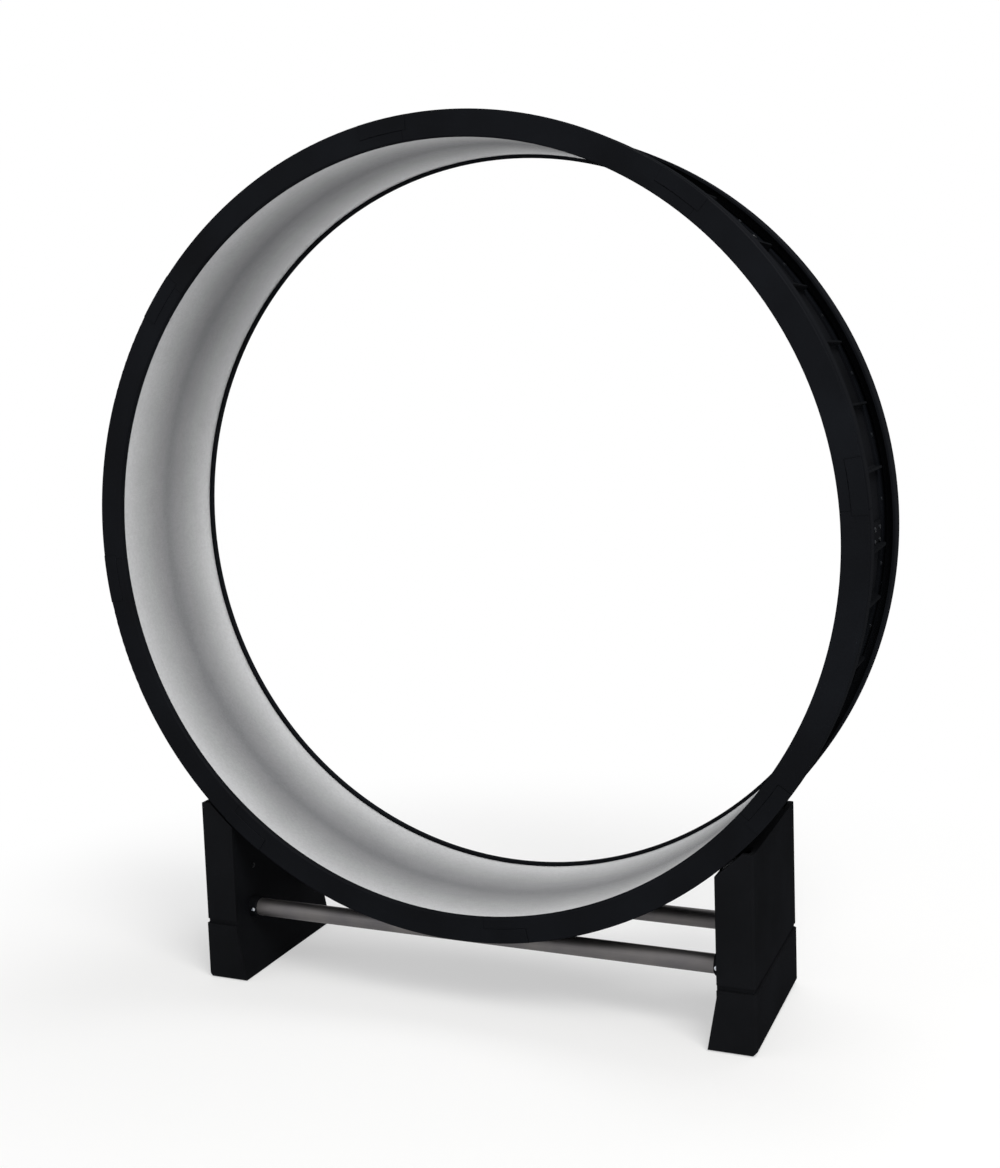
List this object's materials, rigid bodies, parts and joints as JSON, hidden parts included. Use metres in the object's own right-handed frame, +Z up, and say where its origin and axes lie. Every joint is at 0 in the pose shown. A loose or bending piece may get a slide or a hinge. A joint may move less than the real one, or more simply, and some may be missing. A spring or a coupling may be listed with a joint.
{
  "type": "cat exercise wheel",
  "caption": "Large free-standing running wheel for a cat: a black segmented ring lined with a grey mat, turning on rollers in two black legs tied by two round tubes.",
  "frame": {"origin": "on the floor, midway between the legs and between the wheel's two faces", "axes": "+Z up, +Y along the wheel's axis from front to back, +X to the right seen from the front"},
  "size_m": [1.22, 0.274, 1.334],
  "materials": {
    "wheel_plastic": "fine moulded grain, satin",
    "leg_plastic": "fine moulded grain, matt",
    "mat_felt": "short dense grey felt, worn darker along the middle",
    "tube_metal": "satin",
    "zinc_steel": "zinc plated",
    "black_steel": "black oxide",
    "hub_nylon": "moulded",
    "roller_tyre": "soft polyurethane",
    "foot_rubber": "moulded"
  },
  "bodies": {
    "stand": {"leg_shell_left": "leg_plastic", "leg_shell_right": "leg_plastic", "leg_cover_left": "leg_plastic", "leg_cover_right": "leg_plastic", "leg_base_left": "leg_plastic", "leg_base_right": "leg_plastic", "roller_bracket_left": "zinc_steel", "roller_bracket_right": "zinc_steel", "roller_axle_left": "zinc_steel", "roller_axle_right": "zinc_steel", "tube_front": "tube_metal", "tube_rear": "tube_metal", "rubber_feet": "foot_rubber", "base_screws": "zinc_steel", "cover_screws": "black_steel", "socket_screws": "zinc_steel", "bracket_screws": "zinc_steel", "axle_clips": "zinc_steel", "axle_spacers": "zinc_steel", "roller_bearings": "zinc_steel"},
    "wheel": {"rim_front_1": "wheel_plastic", "rim_front_2": "wheel_plastic", "rim_front_3": "wheel_plastic", "rim_front_4": "wheel_plastic", "rim_front_5": "wheel_plastic", "rim_front_6": "wheel_plastic", "rim_front_7": "wheel_plastic", "rim_front_8": "wheel_plastic", "rim_back_1": "wheel_plastic", "rim_back_2": "wheel_plastic", "rim_back_3": "wheel_plastic", "rim_back_4": "wheel_plastic", "rim_back_5": "wheel_plastic", "rim_back_6": "wheel_plastic", "rim_back_7": "wheel_plastic", "rim_back_8": "wheel_plastic", "tread_panel_1": "wheel_plastic", "tread_panel_2": "wheel_plastic", "tread_panel_3": "wheel_plastic", "tread_panel_4": "wheel_plastic", "tread_panel_5": "wheel_plastic", "tread_panel_6": "wheel_plastic", "tread_panel_7": "wheel_plastic", "tread_panel_8": "wheel_plastic", "running_mat_1": "mat_felt", "running_mat_2": "mat_felt", "running_mat_3": "mat_felt", "running_mat_4": "mat_felt", "tread_joint_bars": "wheel_plastic", "joint_bar_screws": "zinc_steel", "rim_screws": "zinc_steel"},
    "roller_left_front": {"roller_hub_left_front": "hub_nylon", "roller_tyre_left_front": "roller_tyre"},
    "roller_left_rear": {"roller_hub_left_rear": "hub_nylon", "roller_tyre_left_rear": "roller_tyre"},
    "roller_right_front": {"roller_hub_right_front": "hub_nylon", "roller_tyre_right_front": "roller_tyre"},
    "roller_right_rear": {"roller_hub_right_rear": "hub_nylon", "roller_tyre_right_rear": "roller_tyre"}
  },
  "joints": [
    {"name": "wheel_spin", "type": "hinge", "parent": "stand", "child": "wheel", "pos_m": [0, 0, 0.724], "axis": [0, 1, 0], "continuous": true},
    {"name": "roller_left_front_spin", "type": "hinge", "parent": "stand", "child": "roller_left_front", "pos_m": [-0.4205, -0.114, 0.25447], "axis": [0, 1, 0], "continuous": true},
    {"name": "roller_left_rear_spin", "type": "hinge", "parent": "stand", "child": "roller_left_rear", "pos_m": [-0.4205, 0.114, 0.25447], "axis": [0, 1, 0], "continuous": true},
    {"name": "roller_right_front_spin", "type": "hinge", "parent": "stand", "child": "roller_right_front", "pos_m": [0.4205, -0.114, 0.25447], "axis": [0, 1, 0], "continuous": true},
    {"name": "roller_right_rear_spin", "type": "hinge", "parent": "stand", "child": "roller_right_rear", "pos_m": [0.4205, 0.114, 0.25447], "axis": [0, 1, 0], "continuous": true}
  ],
  "couplings": [
    {"joint": "roller_left_front_spin", "follows": "wheel_spin", "ratio": -30.5},
    {"joint": "roller_left_rear_spin", "follows": "wheel_spin", "ratio": -30.5},
    {"joint": "roller_right_front_spin", "follows": "wheel_spin", "ratio": -30.5},
    {"joint": "roller_right_rear_spin", "follows": "wheel_spin", "ratio": -30.5}
  ]
}
